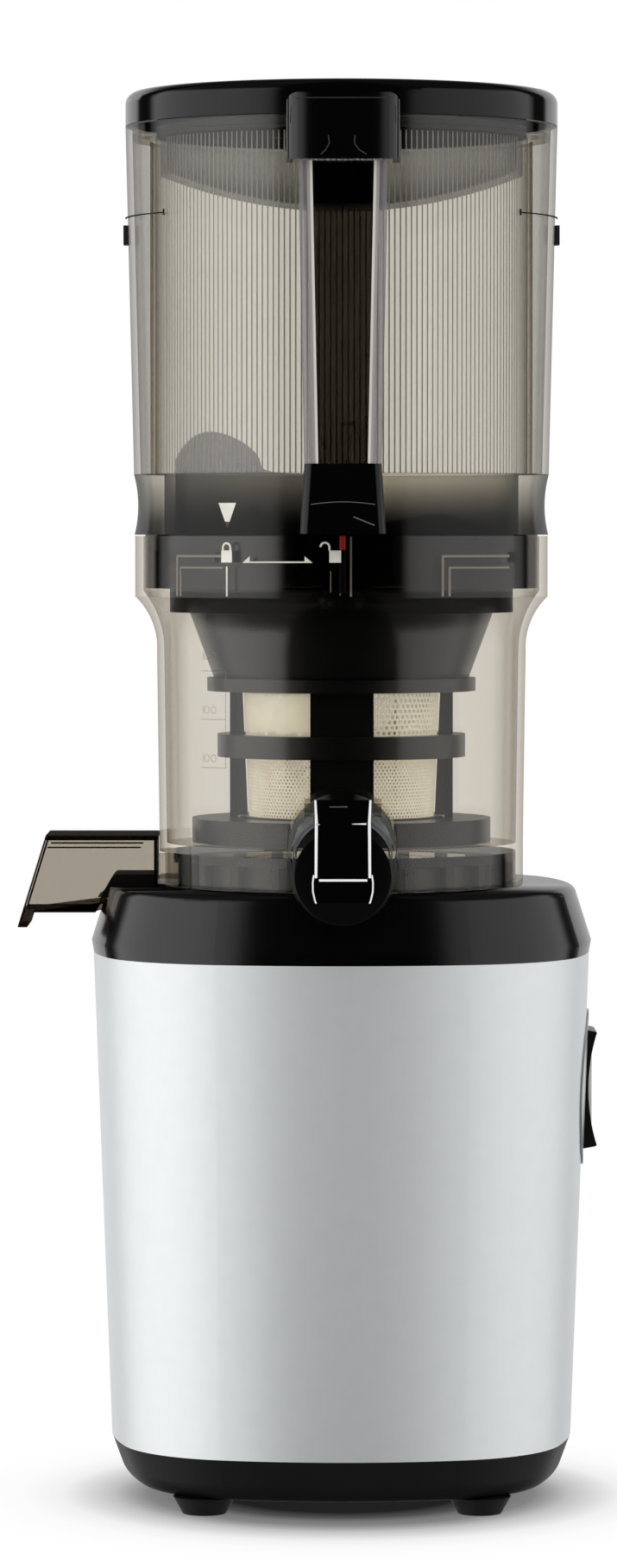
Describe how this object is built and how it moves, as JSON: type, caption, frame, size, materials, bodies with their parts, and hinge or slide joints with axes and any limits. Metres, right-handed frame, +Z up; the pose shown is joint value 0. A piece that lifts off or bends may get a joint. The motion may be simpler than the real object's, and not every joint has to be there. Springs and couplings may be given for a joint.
{
  "type": "cold press juicer",
  "caption": "Vertical slow juicer: motor base, clear bowl with strainer, rotating brush, auger, tilted juice nozzle with cap, side pulp chute, and twist-on hopper with handle and hinged lid.",
  "frame": {"origin": "on the drive axis, in the plane that the feet stand on", "axes": "+Z up along the drive axis; the juice nozzle and the handle face -Y; the pulp chute faces -X and the switch +X"},
  "size_m": [0.2074, 0.2017, 0.502],
  "materials": {
    "silver_metal": "satin silver lacquer on a drawn shell",
    "black_gloss": "glossy black moulding",
    "black_matte": "fine matte black moulding",
    "clear_plastic": "clear, faintly warm copolyester",
    "smoke_plastic": "smoky see-through moulding",
    "ribbed_plastic": "pale frosted plastic with fine upright ribs",
    "grey_plastic": "grey glass-filled moulding",
    "silver_plastic": "silver-grey moulding",
    "white_nylon": "self-lubricating white gear nylon",
    "red_plastic": "red indicator pin",
    "black_rubber": "moulded rubber",
    "silicone": "dark food-grade silicone",
    "steel": "bright turned steel",
    "screen_steel": "perforated stainless sheet",
    "cast_aluminium": "die-cast, as cast",
    "core_steel": "stacked laminations",
    "copper": "enamelled winding wire",
    "board_green": "solder-masked board"
  },
  "bodies": {
    "base": {"base_housing": "silver_metal", "top_cover": "black_gloss", "bottom_cover": "black_gloss", "rubber_feet": "black_rubber", "base_screws": "steel", "cover_screws": "steel", "cord_gland": "black_rubber", "switch_bezel": "black_matte", "switch_body": "black_matte", "switch_pivot": "steel", "gearbox_housing": "cast_aluminium", "gearbox_lid": "cast_aluminium", "gearbox_screws": "steel", "intermediate_axle": "steel", "output_bearings": "steel", "shaft_seal": "silicone", "motor_can": "core_steel", "motor_end_cap": "cast_aluminium", "motor_bearings": "steel", "stator_core": "core_steel", "coil_windings": "copper", "circuit_board": "board_green", "interlock_switch": "black_matte", "juice_bowl": "clear_plastic", "lock_indicator": "red_plastic", "bowl_base_ring": "grey_plastic", "bowl_seal": "silicone", "pulp_chute": "smoke_plastic", "pulp_plug": "black_rubber", "strainer_funnel": "grey_plastic", "strainer_screen": "screen_steel", "strainer_base": "grey_plastic", "cap_hinge_pin": "steel"},
    "auger": {"output_gear": "white_nylon", "output_shaft": "steel", "auger": "ribbed_plastic", "auger_blade": "ribbed_plastic"},
    "intermediate": {"intermediate_gear": "white_nylon"},
    "motor": {"motor_rotor": "core_steel", "motor_shaft": "steel", "cooling_fan": "black_matte"},
    "idler": {"brush_idler": "white_nylon"},
    "brush": {"brush_frame": "grey_plastic", "brush_wipers": "silicone"},
    "juice_cap": {"juice_cap": "black_gloss", "cap_seal": "silicone"},
    "hopper": {"hopper_ring": "black_gloss", "hopper_wall": "clear_plastic", "hopper_liner": "ribbed_plastic", "side_clips": "black_matte", "hopper_handle": "smoke_plastic", "handle_foot": "black_gloss", "lid_hinge_pin": "steel"},
    "lid": {"lid": "black_gloss", "lid_plug": "smoke_plastic", "lid_gasket": "silicone", "latch_pin": "steel"},
    "latch": {"lid_latch": "black_gloss"},
    "switch": {"switch_rocker": "silver_plastic"}
  },
  "joints": [
    {"name": "auger_spin", "type": "hinge", "parent": "base", "child": "auger", "pos_m": [0, 0, 0.2], "axis": [0, 0, 1], "continuous": true},
    {"name": "intermediate_spin", "type": "hinge", "parent": "base", "child": "intermediate", "pos_m": [0, 0.036, 0.154], "axis": [0, 0, 1], "continuous": true},
    {"name": "motor_spin", "type": "hinge", "parent": "base", "child": "motor", "pos_m": [0, 0, 0.094], "axis": [0, 0, 1], "continuous": true},
    {"name": "idler_spin", "type": "hinge", "parent": "base", "child": "idler", "pos_m": [0, 0.02625, 0.237], "axis": [0, 0, 1], "continuous": true},
    {"name": "brush_spin", "type": "hinge", "parent": "base", "child": "brush", "pos_m": [0, 0, 0.26], "axis": [0, 0, 1], "continuous": true},
    {"name": "juice_cap_hinge", "type": "hinge", "parent": "base", "child": "juice_cap", "pos_m": [0, -0.0971, 0.2502], "axis": [-1, 0, 0], "range_deg": [0, 110]},
    {"name": "hopper_twist", "type": "hinge", "parent": "base", "child": "hopper", "pos_m": [0, 0, 0.344], "axis": [0, 0, 1], "range_deg": [0, 32]},
    {"name": "lid_hinge", "type": "hinge", "parent": "hopper", "child": "lid", "pos_m": [0, 0.0815, 0.491], "axis": [-1, 0, 0], "range_deg": [0, 100]},
    {"name": "lid_latch_hinge", "type": "hinge", "parent": "lid", "child": "latch", "pos_m": [0, -0.083, 0.4882], "axis": [-1, 0, 0], "range_deg": [0, 25]},
    {"name": "switch_rock", "type": "hinge", "parent": "base", "child": "switch", "pos_m": [0.07967, 0, 0.1455], "axis": [0, 1, 0], "range_deg": [-8, 8]}
  ],
  "couplings": [
    {"joint": "intermediate_spin", "follows": "auger_spin", "ratio": -5},
    {"joint": "motor_spin", "follows": "auger_spin", "ratio": 25},
    {"joint": "idler_spin", "follows": "auger_spin", "ratio": -0.90909},
    {"joint": "brush_spin", "follows": "auger_spin", "ratio": -0.3125}
  ]
}
